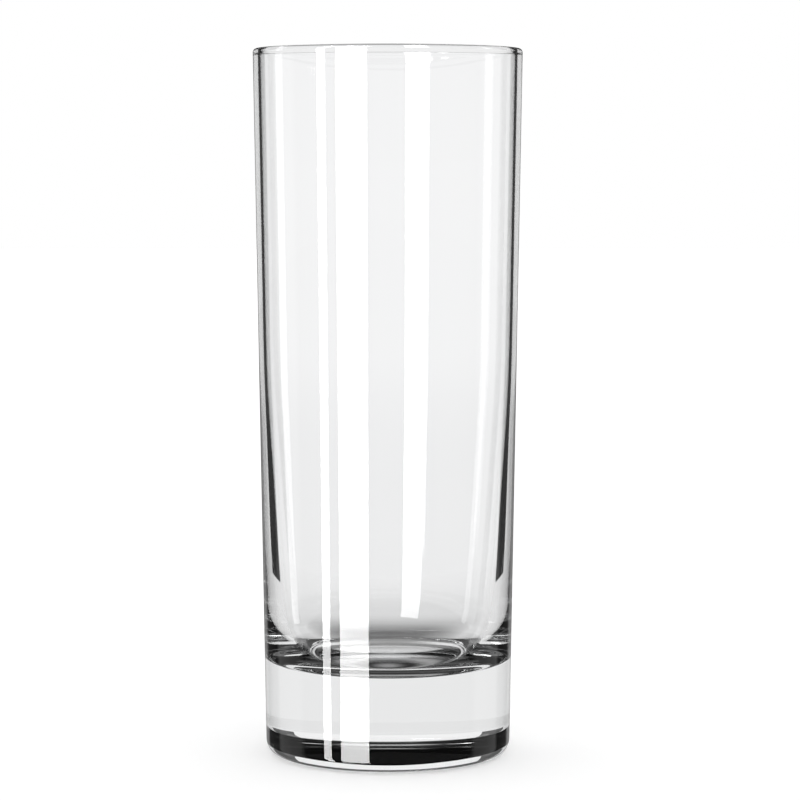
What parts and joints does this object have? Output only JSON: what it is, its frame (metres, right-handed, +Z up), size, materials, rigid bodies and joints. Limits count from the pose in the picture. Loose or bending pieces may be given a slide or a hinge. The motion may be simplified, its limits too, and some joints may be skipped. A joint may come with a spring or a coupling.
{
  "type": "tall round drinking glass",
  "caption": "Tall, slightly tapered round tumbler of clear glass with a rounded lip and a thick solid base, for holding a long drink.",
  "frame": {"origin": "middle of the flat ring that the glass stands on", "axes": "+Z up along the axis of the glass, out of its mouth; X and Y are alike because the glass is round"},
  "size_m": [0.06, 0.06, 0.158],
  "materials": {
    "clear_glass": "clear, colourless and fire-polished"
  },
  "bodies": {
    "root": {"glass_tumbler": "clear_glass"}
  },
  "joints": []
}
